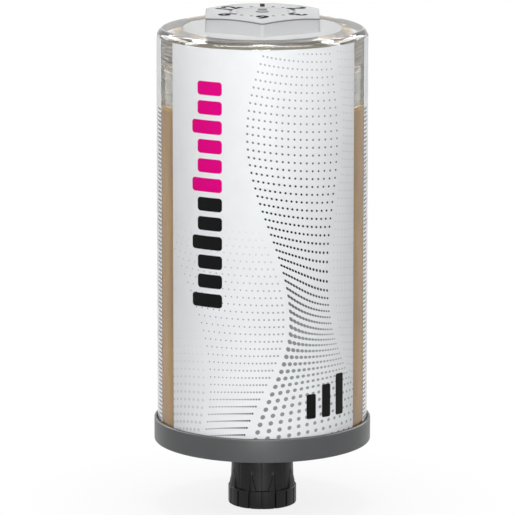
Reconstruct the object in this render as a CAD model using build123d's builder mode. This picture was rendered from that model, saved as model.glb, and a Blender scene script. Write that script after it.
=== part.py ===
"""Single-point automatic lubricator, in millimetres.

It stands on its outlet cap at z = 0 with its axis on Z, and its front faces -Y. A button cell in the
screw-in generator head makes gas, which drives the piston down the clear casing and the grease out
through the threaded neck.
"""

import os
from math import cos, radians, sin

from build123d import *

# Outlet cap, from the standing face up
cap_floor = 2.0
cap_ring_radius = 8.2
cap_ring_height = 4.5
cap_body_radius = 7.43
cap_flare = 0.19
cap_rib_count = 8
cap_rib_height = 4.8
cap_rib_setback = 0.15
cap_pocket_angle = 11.0
cap_foot_chamfer = 0.3
cap_mouth_chamfer = 0.3
cap_groove_count = 16
cap_groove_width = 0.55
cap_groove_depth = 0.35
cap_groove_land = 0.45
liner_thickness = 1.2
liner_clearance = 0.2

# Outlet neck, with the thread's size for G 1/4
neck_length = 12.7
thread_major_radius = 6.579
thread_depth = 0.857
thread_clearance = 0.08
neck_chamfer = 0.5
neck_root_chamfer = 0.4
outlet_bore_radius = 3.0
cap_top_gap = 0.7

# Base plate
base_floor = 1.5
base_rim_height = 5.7
rim_clearance = 0.3
rim_wall = 0.7
rim_chamfer = 0.3
spigot_height = 0.8
spigot_clearance = 0.1

# Casing
casing_radius = 25.0
casing_wall = 1.6
casing_length = 98.5
collar_height = 7.5
shoulder_fillet = 1.7
foot_inset = 0.4
foot_step_drop = 0.1

# Labels, by the angles of their edges from the front
label_thickness = 0.12
label_glue = 0.05
label_foot = 0.05
label_top_gap = 1.5
front_label_left_angle = 58.5
front_label_right_angle = 60.2
left_window_angle = 14.2
right_window_angle = 13.5

# Piston and its two seals
piston_height = 9.35
piston_top_gap = 0.5
piston_crown = 2.2
piston_clearance = 0.5
piston_wall = 1.4
piston_seal_cord = 0.9
piston_seal_land = 1.2
running_gap = 0.05
grease_gap = 0.08

# Generator head
hexagon_across_flats = 27.0
hexagon_height = 3.9
hexagon_corner_fillet = 1.3
hexagon_chamfer_inset = 0.25
hexagon_chamfer_drop = 0.45
flange_seat_width = 0.68
flange_thickness = 2.0
flange_clearance = 0.1
head_thread_root_radius = 16.9
head_thread_depth = 0.6
head_thread_clearance = 0.1
head_wall = 1.5
head_ceiling = 3.85
board_seat_width = 4.1
head_seal_cord = 0.65
head_seal_play = 0.06
generator_gap = 1.0

# Generator internals, from the lower cover up
fit_gap = 0.1
cover_thickness = 1.5
cover_ring_wall = 1.1
cover_ring_inset = 0.8
vent_count = 3
vent_radius = 0.6
vent_circle_radius = 1.9
membrane_thickness = 0.25
membrane_clearance = 0.4
holder_height = 8.1
holder_plate = 1.0
holder_wall = 1.2
holder_rib_count = 4
holder_rib = 1.0
holder_rib_lift = 1.4
holder_rib_angle = 45.0
cell_radius = 5.8
cell_height = 5.4
cell_cap_step = 0.9
cell_cap_height = 1.1
cell_chamfer = 0.4
cell_lift = 1.2
contact_thickness = 0.25
contact_width = 2.5
contact_foot = 0.75
positive_contact_radius = 3.4
board_thickness = 1.0
board_hole_radius = 1.6
resistor_count = 6
resistor_length = 3.2
resistor_width = 1.6
resistor_height = 0.7
resistor_wall_gap = 0.9

# Dial
rotor_radius = 6.1
rotor_thickness = 1.1
rotor_recess = 0.1
rotor_clearance = 0.1
stem_radius = 2.4
stem_clearance = 0.06
stem_end_radius = 1.4
stem_end_length = 0.7
pointer_length = 5.0
pointer_width = 2.1
pointer_depth = 0.3
socket_across_flats = 3.0
socket_depth = 2.2
dial_seal_cord = 0.6
dial_seal_play = 0.05
clip_thickness = 0.5
clip_radius = 4.3
clip_neck_radius = 1.8
clip_opening = 2.8
wiper_gap = 0.8
wiper_hub_radius = 3.0
wiper_width = 2.0

# Levels that follow from the sizes
neck_end_z = cap_floor + liner_thickness
base_z = neck_end_z + neck_length
cap_top_z = base_z - cap_top_gap
casing_foot_z = base_z + base_floor
chamber_floor_z = casing_foot_z + spigot_height
casing_top_z = casing_foot_z + casing_length
rim_top_z = base_z + base_rim_height
foot_step_z = rim_top_z - foot_step_drop
collar_z = casing_top_z - collar_height
flange_z = casing_top_z - flange_thickness
dial_z = casing_top_z + hexagon_height
piston_top_z = collar_z - piston_top_gap
piston_z = piston_top_z - piston_height
crown_top_z = piston_z + piston_crown
head_end_z = crown_top_z + generator_gap
cover_top_z = head_end_z + cover_thickness
board_z = cover_top_z + holder_height
board_top_z = board_z + board_thickness
ceiling_z = dial_z - head_ceiling
cell_z = cover_top_z + cell_lift
cell_top_z = cell_z + cell_height
rotor_z = dial_z - rotor_recess - rotor_thickness
clip_z = ceiling_z - running_gap - clip_thickness
stem_foot_z = clip_z - 2 * running_gap - contact_thickness
head_seal_z = flange_z - head_seal_cord - head_seal_play
dial_seal_z = ceiling_z + dial_seal_cord + dial_seal_play

# Radii that follow from the sizes
bore_radius = casing_radius - casing_wall
rim_bore_radius = casing_radius + rim_clearance
base_radius = rim_bore_radius + rim_wall
foot_radius = casing_radius - foot_inset
thread_root_radius = thread_major_radius - thread_depth
head_thread_major_radius = head_thread_root_radius + head_thread_depth
collar_bore_radius = head_thread_major_radius + head_thread_clearance
cap_bore_radius = thread_major_radius + thread_clearance
piston_radius = bore_radius - piston_clearance
piston_seal_radius = bore_radius - running_gap - piston_seal_cord
piston_groove_radius = piston_seal_radius - piston_seal_cord - running_gap
piston_cup_radius = piston_groove_radius - piston_wall
head_bore_radius = head_thread_root_radius - head_wall
cavity_radius = head_bore_radius - board_seat_width
insert_radius = head_bore_radius - fit_gap
resistor_circle_radius = cavity_radius - resistor_wall_gap - resistor_width / 2
wiper_radius = resistor_circle_radius - resistor_width / 2 - wiper_gap
head_seal_radius = head_thread_root_radius + head_seal_play + head_seal_cord
head_seal_bore_radius = head_seal_radius + head_seal_cord + head_seal_play
flange_radius = head_seal_bore_radius + flange_seat_width
cell_pocket_radius = cell_radius + fit_gap
dial_seal_radius = stem_radius + dial_seal_play + dial_seal_cord
dial_gland_radius = dial_seal_radius + dial_seal_cord + dial_seal_play
cover_ring_radius = cell_radius - cover_ring_inset

FULL_TURN = 360.0
HEXAGON_SIDES = 6
half_side_angle = FULL_TURN / HEXAGON_SIDES / 2
FRONT = -90.0
DIAL_ZERO = 90.0


def radial_plane(azimuth):
    """The upright half-plane through the axis at an angle from +X, with its x outwards and its y up."""
    across = (cos(radians(azimuth)), sin(radians(azimuth)), 0)
    return Plane(origin=(0, 0, 0), x_dir=across, z_dir=(across[1], -across[0], 0))


def outward_plane(azimuth):
    """The upright plane through the axis that faces outwards at an angle from +X."""
    outward = Vector(cos(radians(azimuth)), sin(radians(azimuth)), 0)
    return Plane(origin=(0, 0, 0), x_dir=(-outward.Y, outward.X, 0), z_dir=outward)


def half_section(*points):
    """The half-section of a turned form on the XZ plane, from points of radius and height."""
    with BuildSketch(Plane.XZ) as section:
        with BuildLine():
            Polyline(*points, close=True)
        make_face()
    return section.sketch


def ring_seal(mean_radius, cord_radius, height):
    """A sealing ring, with its cord squared by the groove that squeezes it."""
    with BuildPart() as seal:
        with BuildSketch(Plane.XZ):
            with Locations((mean_radius, height)):
                Rectangle(2 * cord_radius, 2 * cord_radius)
        revolve(axis=Axis.Z)
    return seal


def film(start_angle, arc):
    """A printed film that wraps the casing over an arc, from the base's rim to the shoulder."""
    inner = casing_radius + label_glue
    foot = foot_step_z + label_foot
    height = casing_top_z - label_top_gap - foot
    with BuildPart() as label:
        with BuildSketch(radial_plane(start_angle)):
            with Locations((inner, foot)):
                Rectangle(label_thickness, height, align=(Align.MIN, Align.MIN))
        revolve(axis=Axis.Z, revolution_arc=arc)
    return label


def circle_edges(builder, radius, height):
    """The round edges of a piece at one radius and height."""
    near = 1e-3
    edges = builder.edges().filter_by(GeomType.CIRCLE)
    level = edges.filter_by(lambda edge: abs(edge.center().Z - height) < near)
    return level.filter_by(lambda edge: abs(edge.radius - radius) < near)


os.makedirs("parts", exist_ok=True)

# ---------------------------------------------------------------- Base plate with the outlet neck
with BuildPart() as base_plate:
    section = half_section(
        (outlet_bore_radius, neck_end_z),
        (thread_root_radius, neck_end_z),
        (thread_root_radius, base_z),
        (base_radius, base_z),
        (base_radius, rim_top_z),
        (rim_bore_radius, rim_top_z),
        (rim_bore_radius, casing_foot_z),
        (bore_radius - spigot_clearance, casing_foot_z),
        (bore_radius - spigot_clearance, chamber_floor_z),
        (outlet_bore_radius, chamber_floor_z),
    )
    revolve(section, axis=Axis.Z)
    chamfer(circle_edges(base_plate, base_radius, rim_top_z), rim_chamfer)
    chamfer(circle_edges(base_plate, thread_root_radius, base_z), neck_root_chamfer)
    chamfer(circle_edges(base_plate, thread_root_radius, neck_end_z), neck_chamfer)
base_plate.part.label = "base_plate"
export_step(base_plate.part, "parts/base_plate.step")

# ---------------------------------------------------------------- Outlet cap
# The wedge between two gussets, open above the ring, with the cap's flared body left inside it
pocket_top_z = cap_ring_height + cap_rib_height
flare_radius = cap_body_radius + cap_flare
pocket_foot = flare_radius * sin(radians(cap_pocket_angle))
pocket_head = cap_body_radius * sin(radians(FULL_TURN / cap_rib_count / 2))
with BuildPart() as cap_pocket:
    with BuildSketch(outward_plane(FRONT)):
        with BuildLine():
            Polyline(
                (-pocket_foot, cap_ring_height),
                (pocket_foot, cap_ring_height),
                (pocket_head, pocket_top_z),
                (-pocket_head, pocket_top_z),
                close=True,
            )
        make_face()
    extrude(amount=2 * cap_ring_radius)
    with BuildSketch(Plane.XZ):
        with BuildLine():
            Polyline(
                (0, 0),
                (flare_radius, 0),
                (flare_radius, cap_ring_height),
                (cap_body_radius, pocket_top_z),
                (0, pocket_top_z),
                close=True,
            )
        make_face()
    revolve(axis=Axis.Z, mode=Mode.SUBTRACT)

with BuildPart() as outlet_cap:
    section = half_section(
        (0, 0),
        (cap_ring_radius, 0),
        (cap_ring_radius, cap_ring_height),
        (cap_ring_radius - cap_rib_setback, cap_ring_height),
        (cap_body_radius, pocket_top_z),
        (cap_body_radius, cap_top_z),
        (0, cap_top_z),
    )
    revolve(section, axis=Axis.Z)
    chamfer(circle_edges(outlet_cap, cap_ring_radius, 0), cap_foot_chamfer)
    with PolarLocations(0, cap_rib_count):
        add(cap_pocket.part, mode=Mode.SUBTRACT)
    with BuildSketch():
        with PolarLocations(cap_ring_radius, cap_groove_count):
            Rectangle(2 * cap_groove_depth, cap_groove_width)
    extrude(amount=cap_ring_height - cap_groove_land, mode=Mode.SUBTRACT)
    with BuildSketch(Plane.XY.offset(cap_floor)):
        Circle(cap_bore_radius)
    extrude(amount=cap_top_z - cap_floor, mode=Mode.SUBTRACT)
    chamfer(circle_edges(outlet_cap, cap_bore_radius, cap_top_z), cap_mouth_chamfer)
outlet_cap.part.label = "outlet_cap"
export_step(outlet_cap.part, "parts/outlet_cap.step")

with BuildPart() as cap_liner:
    with BuildSketch(Plane.XY.offset(cap_floor)):
        Circle(thread_major_radius - liner_clearance)
    extrude(amount=liner_thickness)
cap_liner.part.label = "cap_liner"
export_step(cap_liner.part, "parts/cap_liner.step")

# ---------------------------------------------------------------- Casing and its labels
with BuildPart() as casing:
    section = half_section(
        (bore_radius, casing_foot_z),
        (foot_radius, casing_foot_z),
        (foot_radius, foot_step_z),
        (casing_radius, foot_step_z),
        (casing_radius, casing_top_z),
        (flange_radius + flange_clearance, casing_top_z),
        (flange_radius + flange_clearance, flange_z),
        (head_seal_bore_radius, flange_z),
        (head_seal_bore_radius, head_seal_z - head_seal_cord),
        (collar_bore_radius, head_seal_z - head_seal_cord),
        (collar_bore_radius, collar_z),
        (bore_radius, collar_z),
    )
    revolve(section, axis=Axis.Z)
    fillet(circle_edges(casing, casing_radius, casing_top_z), shoulder_fillet)
casing.part.label = "casing"
export_step(casing.part, "parts/casing.step")

front_label = film(FRONT - front_label_left_angle, front_label_left_angle + front_label_right_angle)
front_label.part.label = "front_label"
export_step(front_label.part, "parts/front_label.step")

rear_label_start = FRONT + front_label_right_angle + right_window_angle
rear_label_end = FRONT + FULL_TURN - front_label_left_angle - left_window_angle
rear_label = film(rear_label_start, rear_label_end - rear_label_start)
rear_label.part.label = "rear_label"
export_step(rear_label.part, "parts/rear_label.step")

# ---------------------------------------------------------------- Grease
with BuildPart() as grease_fill:
    with BuildSketch(Plane.XY.offset(chamber_floor_z + grease_gap)):
        Circle(bore_radius - grease_gap)
    extrude(amount=piston_z - chamber_floor_z - 2 * grease_gap)
grease_fill.part.label = "grease_fill"
export_step(grease_fill.part, "parts/grease_fill.step")

with BuildPart() as outlet_grease:
    with BuildSketch(Plane.XY.offset(neck_end_z + grease_gap)):
        Circle(outlet_bore_radius - grease_gap)
    extrude(amount=chamber_floor_z - neck_end_z - grease_gap)
outlet_grease.part.label = "outlet_grease"
export_step(outlet_grease.part, "parts/outlet_grease.step")

# ---------------------------------------------------------------- Piston and its seals
seal_groove = 2 * piston_seal_cord + 2 * running_gap
lower_seal_z = piston_z + piston_seal_land + seal_groove / 2
upper_seal_z = piston_top_z - piston_seal_land - seal_groove / 2
with BuildPart() as piston:
    section = half_section(
        (0, piston_z),
        (piston_radius, piston_z),
        (piston_radius, piston_top_z),
        (piston_cup_radius, piston_top_z),
        (piston_cup_radius, crown_top_z),
        (0, crown_top_z),
    )
    revolve(section, axis=Axis.Z)
    with BuildSketch(Plane.XZ):
        for seal_z in (lower_seal_z, upper_seal_z):
            with Locations((piston_groove_radius, seal_z)):
                Rectangle(2 * piston_radius, seal_groove, align=(Align.MIN, Align.CENTER))
    revolve(axis=Axis.Z, mode=Mode.SUBTRACT)
piston.part.label = "piston"
export_step(piston.part, "parts/piston.step")

piston_lower_seal = ring_seal(piston_seal_radius, piston_seal_cord, lower_seal_z)
piston_lower_seal.part.label = "piston_lower_seal"
export_step(piston_lower_seal.part, "parts/piston_lower_seal.step")

piston_upper_seal = ring_seal(piston_seal_radius, piston_seal_cord, upper_seal_z)
piston_upper_seal.part.label = "piston_upper_seal"
export_step(piston_upper_seal.part, "parts/piston_upper_seal.step")

# ---------------------------------------------------------------- Generator head
chamfer_radius = hexagon_across_flats / 2 - hexagon_chamfer_inset
hexagon_corner_radius = hexagon_across_flats / 2 / cos(radians(half_side_angle))
chamfer_slope = hexagon_chamfer_drop / (hexagon_corner_radius - chamfer_radius)
chamfer_run = hexagon_across_flats
with BuildPart() as generator_head:
    section = half_section(
        (0, head_end_z),
        (head_thread_root_radius, head_end_z),
        (head_thread_root_radius, flange_z),
        (flange_radius, flange_z),
        (flange_radius, casing_top_z),
        (0, casing_top_z),
    )
    revolve(section, axis=Axis.Z)
    with BuildSketch(Plane.XY.offset(casing_top_z)):
        # Turned so that a corner points to the front
        RegularPolygon(hexagon_corner_radius, HEXAGON_SIDES, rotation=half_side_angle)
        fillet(vertices(), hexagon_corner_fillet)
    extrude(amount=hexagon_height)
    # The nut's shallow conical chamfer, which rounds the top face off at its corners
    with BuildSketch(Plane.XZ):
        with BuildLine():
            Polyline(
                (chamfer_radius, dial_z),
                (chamfer_radius + chamfer_run, dial_z),
                (chamfer_radius + chamfer_run, dial_z - chamfer_slope * chamfer_run),
                close=True,
            )
        make_face()
    revolve(axis=Axis.Z, mode=Mode.SUBTRACT)
    # The bore for the generator, the seat over its board, the cavity and the room for the dial
    with BuildSketch(Plane.XZ):
        with BuildLine():
            Polyline(
                (0, head_end_z),
                (head_bore_radius, head_end_z),
                (head_bore_radius, board_top_z),
                (cavity_radius, board_top_z),
                (cavity_radius, ceiling_z),
                (dial_gland_radius, ceiling_z),
                (dial_gland_radius, dial_seal_z + dial_seal_cord + dial_seal_play),
                (stem_radius + stem_clearance, dial_seal_z + dial_seal_cord + dial_seal_play),
                (stem_radius + stem_clearance, rotor_z - running_gap),
                (rotor_radius + rotor_clearance, rotor_z - running_gap),
                (rotor_radius + rotor_clearance, dial_z),
                (0, dial_z),
                close=True,
            )
        make_face()
    revolve(axis=Axis.Z, mode=Mode.SUBTRACT)
generator_head.part.label = "generator_head"
export_step(generator_head.part, "parts/generator_head.step")

head_o_ring = ring_seal(head_seal_radius, head_seal_cord, head_seal_z)
head_o_ring.part.label = "head_o_ring"
export_step(head_o_ring.part, "parts/head_o_ring.step")

# ---------------------------------------------------------------- Generator internals
with BuildPart() as generator_cover:
    section = half_section(
        (0, head_end_z),
        (insert_radius, head_end_z),
        (insert_radius, cover_top_z),
        (cover_ring_radius, cover_top_z),
        (cover_ring_radius, cell_z - running_gap),
        (cover_ring_radius - cover_ring_wall, cell_z - running_gap),
        (cover_ring_radius - cover_ring_wall, cover_top_z),
        (0, cover_top_z),
    )
    revolve(section, axis=Axis.Z)
    with BuildSketch(Plane.XY.offset(head_end_z)):
        with PolarLocations(vent_circle_radius, vent_count):
            Circle(vent_radius)
    extrude(amount=cover_thickness, mode=Mode.SUBTRACT)
generator_cover.part.label = "generator_cover"
export_step(generator_cover.part, "parts/generator_cover.step")

with BuildPart() as vent_membrane:
    with BuildSketch(Plane.XY.offset(cover_top_z)):
        Circle(cover_ring_radius - cover_ring_wall - membrane_clearance)
    extrude(amount=membrane_thickness)
vent_membrane.part.label = "vent_membrane"
export_step(vent_membrane.part, "parts/vent_membrane.step")

holder_top_z = board_z - holder_plate
cell_cup_radius = cell_pocket_radius + contact_thickness + holder_wall
with BuildPart() as cell_holder:
    section = half_section(
        (cell_radius - cell_cap_step, holder_top_z),
        (cell_pocket_radius, holder_top_z),
        (cell_pocket_radius, cell_z),
        (cell_cup_radius, cell_z),
        (cell_cup_radius, holder_top_z),
        (insert_radius - holder_wall, holder_top_z),
        (insert_radius - holder_wall, cover_top_z),
        (insert_radius, cover_top_z),
        (insert_radius, board_z),
        (cell_radius - cell_cap_step, board_z),
    )
    revolve(section, axis=Axis.Z)
    rib_span = insert_radius - holder_wall / 2 - cell_pocket_radius - holder_wall
    with BuildSketch(Plane.XY.offset(cell_z + holder_rib_lift)):
        with PolarLocations(cell_pocket_radius + holder_wall, holder_rib_count, holder_rib_angle):
            Rectangle(rib_span, holder_rib, align=(Align.MIN, Align.CENTER))
    extrude(amount=holder_top_z - cell_z - holder_rib_lift)
    # The slot in the cup's wall that the cell's side contact runs up through
    with BuildSketch(Plane.XY.offset(cell_z)):
        with Locations((cell_pocket_radius - fit_gap, 0)):
            slot_depth = contact_thickness + 2 * fit_gap
            Rectangle(slot_depth, contact_width + 2 * fit_gap, align=(Align.MIN, Align.CENTER))
    extrude(amount=board_z - cell_z, mode=Mode.SUBTRACT)
cell_holder.part.label = "cell_holder"
export_step(cell_holder.part, "parts/cell_holder.step")

with BuildPart() as gas_cell:
    with BuildSketch(Plane.XY.offset(cell_z)):
        Circle(cell_radius)
    extrude(amount=cell_height - cell_cap_height)
    with BuildSketch(Plane.XY.offset(cell_top_z - cell_cap_height)):
        Circle(cell_radius - cell_cap_step)
    extrude(amount=cell_cap_height)
    chamfer(circle_edges(gas_cell, cell_radius, cell_z), cell_chamfer)
    chamfer(circle_edges(gas_cell, cell_radius - cell_cap_step, cell_top_z), cell_chamfer)
gas_cell.part.label = "gas_cell"
export_step(gas_cell.part, "parts/gas_cell.step")

# A strip that grips the cell's foot and runs up the cup's slot to the board
with BuildPart() as negative_contact:
    strip_radius = cell_pocket_radius
    with BuildSketch(Plane.XZ):
        with BuildLine():
            Polyline(
                (strip_radius - contact_foot, cell_z - contact_thickness),
                (strip_radius + contact_thickness, cell_z - contact_thickness),
                (strip_radius + contact_thickness, board_z),
                (strip_radius, board_z),
                (strip_radius, cell_z),
                (strip_radius - contact_foot, cell_z),
                close=True,
            )
        make_face()
    extrude(amount=contact_width / 2, both=True)
negative_contact.part.label = "negative_contact"
export_step(negative_contact.part, "parts/negative_contact.step")

# A bowed leaf between the cell's top and the board
with BuildPart() as positive_contact:
    with BuildSketch(Plane.XZ):
        with BuildLine():
            lower_bow = ThreePointArc(
                (-positive_contact_radius, cell_top_z),
                (0, board_z - contact_thickness),
                (positive_contact_radius, cell_top_z),
            )
            upper_bow = ThreePointArc(
                (-positive_contact_radius, cell_top_z + contact_thickness),
                (0, board_z),
                (positive_contact_radius, cell_top_z + contact_thickness),
            )
            Line(lower_bow @ 0, upper_bow @ 0)
            Line(lower_bow @ 1, upper_bow @ 1)
        make_face()
    extrude(amount=contact_width / 2, both=True)
positive_contact.part.label = "positive_contact"
export_step(positive_contact.part, "parts/positive_contact.step")

with BuildPart() as circuit_board:
    with BuildSketch(Plane.XY.offset(board_z)):
        Circle(insert_radius)
        Circle(board_hole_radius, mode=Mode.SUBTRACT)
    extrude(amount=board_thickness)
circuit_board.part.label = "circuit_board"
export_step(circuit_board.part, "parts/circuit_board.step")

with BuildPart() as resistors:
    with BuildSketch(Plane.XY.offset(board_top_z)):
        with PolarLocations(resistor_circle_radius, resistor_count):
            Rectangle(resistor_width, resistor_length)
    extrude(amount=resistor_height)
resistors.part.label = "resistors"
export_step(resistors.part, "parts/resistors.step")

# ---------------------------------------------------------------- Dial
with BuildPart() as selector_rotor:
    section = half_section(
        (0, stem_foot_z - stem_end_length),
        (stem_end_radius, stem_foot_z - stem_end_length),
        (stem_end_radius, stem_foot_z + contact_thickness),
        (clip_neck_radius, stem_foot_z + contact_thickness),
        (clip_neck_radius, ceiling_z),
        (stem_radius, ceiling_z),
        (stem_radius, rotor_z),
        (rotor_radius, rotor_z),
        (rotor_radius, dial_z - rotor_recess),
        (0, dial_z - rotor_recess),
    )
    revolve(section, axis=Axis.Z)
    # The pointer's groove, which runs from the socket to the dial's zero, and the key's socket
    with BuildSketch(outward_plane(DIAL_ZERO)):
        with Locations((0, dial_z - rotor_recess)):
            Rectangle(pointer_width, 2 * pointer_depth)
    extrude(amount=pointer_length, mode=Mode.SUBTRACT)
    with BuildSketch(Plane.XY.offset(dial_z - rotor_recess)):
        RegularPolygon(socket_across_flats / 2, HEXAGON_SIDES, major_radius=False)
    extrude(amount=-socket_depth, mode=Mode.SUBTRACT)
selector_rotor.part.label = "selector_rotor"
export_step(selector_rotor.part, "parts/selector_rotor.step")

selector_o_ring = ring_seal(dial_seal_radius, dial_seal_cord, dial_seal_z)
selector_o_ring.part.label = "selector_o_ring"
export_step(selector_o_ring.part, "parts/selector_o_ring.step")

with BuildPart() as selector_clip:
    with BuildSketch(Plane.XY.offset(clip_z)):
        Circle(clip_radius)
        Circle(clip_neck_radius + running_gap, mode=Mode.SUBTRACT)
        Rectangle(clip_radius, clip_opening, align=(Align.MIN, Align.CENTER), mode=Mode.SUBTRACT)
    extrude(amount=clip_thickness)
selector_clip.part.label = "selector_clip"
export_step(selector_clip.part, "parts/selector_clip.step")

# A hub on the stem's end and two arms that slope down to the tracks on the board
with BuildPart() as wiper_contact:
    hub_z = stem_foot_z
    tip_z = board_top_z + running_gap
    with BuildSketch(Plane.XY.offset(hub_z)):
        Circle(wiper_hub_radius)
    extrude(amount=contact_thickness)
    with BuildSketch(Plane.XZ):
        with BuildLine():
            Polyline(
                (wiper_hub_radius - wiper_width / 2, hub_z),
                (wiper_radius - wiper_width / 2, tip_z),
                (wiper_radius, tip_z),
                (wiper_radius, tip_z + contact_thickness),
                (wiper_radius - wiper_width / 2, tip_z + contact_thickness),
                (wiper_hub_radius - wiper_width / 2, hub_z + contact_thickness),
                close=True,
            )
        make_face()
        mirror(about=Plane.YZ)
    extrude(amount=wiper_width / 2, both=True)
    with BuildSketch(Plane.XY.offset(hub_z)):
        Circle(stem_end_radius + running_gap)
    extrude(amount=contact_thickness, mode=Mode.SUBTRACT)
wiper_contact.part.label = "wiper_contact"
export_step(wiper_contact.part, "parts/wiper_contact.step")
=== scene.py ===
"""Looks for a single-point automatic lubricator: its clear casing of grease, labels, base, cap and dial."""

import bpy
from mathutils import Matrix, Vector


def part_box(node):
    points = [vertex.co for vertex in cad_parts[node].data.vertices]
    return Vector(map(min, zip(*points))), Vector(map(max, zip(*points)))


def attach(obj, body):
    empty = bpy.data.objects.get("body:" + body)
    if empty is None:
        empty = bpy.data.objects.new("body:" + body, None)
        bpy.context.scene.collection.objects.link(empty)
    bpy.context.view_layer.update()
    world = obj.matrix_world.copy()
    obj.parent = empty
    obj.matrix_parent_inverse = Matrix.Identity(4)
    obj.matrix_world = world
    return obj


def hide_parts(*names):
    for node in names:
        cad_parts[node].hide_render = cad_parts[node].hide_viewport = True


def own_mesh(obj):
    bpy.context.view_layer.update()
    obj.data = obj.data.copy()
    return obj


bl_info = {
    "name": "Automatic Lubricator",
    "version": (1, 0, 0),
    "blender": (4, 5, 0),
    "location": "View3D > Sidebar > Lubricator",
    "description": "Makes the pieces, finishes and studio of a clear single-point grease lubricator",
    "category": "Object",
}

from math import atan, atan2, cos, inf, pi, radians, sin, sqrt, tan

import bmesh
import bpy
from bpy.props import FloatProperty, FloatVectorProperty, PointerProperty
from bpy.types import Operator, Panel, PropertyGroup
from mathutils import Vector

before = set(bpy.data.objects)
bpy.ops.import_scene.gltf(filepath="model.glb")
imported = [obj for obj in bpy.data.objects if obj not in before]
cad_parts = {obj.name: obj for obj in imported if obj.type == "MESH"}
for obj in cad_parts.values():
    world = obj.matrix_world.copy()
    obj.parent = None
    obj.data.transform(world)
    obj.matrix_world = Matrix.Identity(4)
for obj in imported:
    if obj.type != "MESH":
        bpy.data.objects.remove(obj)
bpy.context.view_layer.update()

MM = 0.001
TURN = 2 * pi


def corners_of(node):
    """A node's lowest and highest corners, in millimetres."""
    low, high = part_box(node)
    return low / MM, high / MM


CASING_LOW, CASING_HIGH = corners_of("casing")
BASE_LOW, BASE_HIGH = corners_of("base_plate")
CAP_LOW, CAP_HIGH = corners_of("outlet_cap")
HEAD_LOW, HEAD_HIGH = corners_of("generator_head")
GREASE_LOW, GREASE_HIGH = corners_of("grease_fill")
LABEL_LOW, LABEL_HIGH = corners_of("front_label")
LABEL_RADIUS = corners_of("rear_label")[1].x
PISTON_TOP = corners_of("piston")[1].z
ROTOR_TOP = corners_of("selector_rotor")[1].z

# Walls and steps of the fixed solids that their corners don't tell, in millimetres
FILM = 0.12
CASING_WALL = 1.6
COLLAR_HEIGHT = 7.5
RIM_HEIGHT = 5.7
HEXAGON_HEIGHT = 3.9
FLANGE_THICKNESS = 2.0
HEAD_ROOT = 16.9
NECK_ROOT = 5.722

# The hexagon's top falls off beyond this radius, by this much for each millimetre
BROW_RADIUS = 13.25
BROW_SLOPE = 0.1925


def pigment(red, green, blue):
    """A paint chart's 0 to 255 values as the scene-linear colour that the shaders take."""
    steps = (value / 255 for value in (red, green, blue))
    return tuple(s / 12.92 if s <= 0.04045 else ((s + 0.055) / 1.055) ** 2.4 for s in steps)


# ---------------- What a user would change


def setting(name, description, default, **more):
    return FloatProperty(name=name, description=description, default=default, **more)


def length(name, description, default):
    return setting(name, description, default * MM, min=0, unit="LENGTH", precision=5)


def power(name, description, default):
    return setting(name, description, default, min=0, unit="POWER")


def colour(name, description, red, green, blue):
    return FloatVectorProperty(
        name=name, description=description, default=pigment(red, green, blue), min=0, max=1, subtype="COLOR"
    )


class LubricatorSizes(PropertyGroup):
    """Sizes of what is dressed on to the fixed solids."""

    neck_pitch: length("Outlet Pitch", "Rise of the outlet thread in one turn", 1.337)
    neck_depth: length("Outlet Thread Depth", "Height of the outlet thread's ridge", 0.82)
    head_pitch: length("Head Pitch", "Rise of the generator's thread in one turn", 1.0)
    head_depth: length("Head Thread Depth", "Height of the generator thread's ridge", 0.52)
    figure_height: length("Figure Height", "Height of the dial's figures", 4.5)
    figure_radius: length("Figure Circle", "Radius of the circle that the figures stand on", 9.3)
    dot_size: length("Dial Dot", "Radius of the dots between the dial's figures", 0.42)
    print_pitch: length("Halftone Pitch", "Distance between the rows of the label's dots", 1.84)
    tick_pitch: length("Tick Pitch", "Distance between the ticks of the level scale", 1.0)


class LubricatorColours(PropertyGroup):
    """Colours of the pieces."""

    label: colour("Label", "White film of both labels", 236, 238, 240)
    ink: colour("Ink", "Black print on labels and dial", 9, 9, 10)
    accent: colour("Accent", "Bright print on the front label", 223, 0, 128)
    grease: colour("Grease", "Body of the grease", 224, 174, 80)
    grease_dark: colour("Grease Shade", "Darker streaks in the grease", 194, 143, 62)
    oil: colour("Oil", "Oily skin on top of the grease", 252, 206, 100)
    base: colour("Base", "Moulded base plate", 76, 77, 78)
    cap: colour("Cap", "Moulded outlet cap", 22, 22, 23)
    head: colour("Head", "Moulded generator head", 192, 193, 194)
    piston: colour("Piston", "Frosted piston", 236, 234, 230)


class StudioSettings(PropertyGroup):
    """The stage, lamps and camera."""

    elevation: setting("Elevation", "Camera's height over the horizon", radians(11.5), subtype="ANGLE")
    distance: setting("Distance", "Camera to aim", 1.199, unit="LENGTH")
    lens: setting("Lens", "Focal length", 350.0, unit="CAMERA")
    aim_height: setting("Aim Height", "Height of the aim", 0.0602, unit="LENGTH")
    aim_side: setting("Aim Side", "Aim's place from left to right", -0.00115, unit="LENGTH")
    key: power("Front Light", "Power of the front lamp", 11.3)
    side: power("Side Cards", "Power of each side card, which only gloss picks up", 8.0)
    high: power("High Card", "Power of the card above the front, which only gloss picks up", 14.0)
    rear: power("Rear Lights", "Power of each rear lamp", 2.4)
    top: power("Top Light", "Power of the overhead lamp", 0.18)
    room: setting("Room Light", "Strength of the light from all round", 0.01, min=0)
    floor_size: setting("Floor", "Side of the square floor", 6.0, min=0, unit="LENGTH")


# ---------------- Meshes


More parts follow.
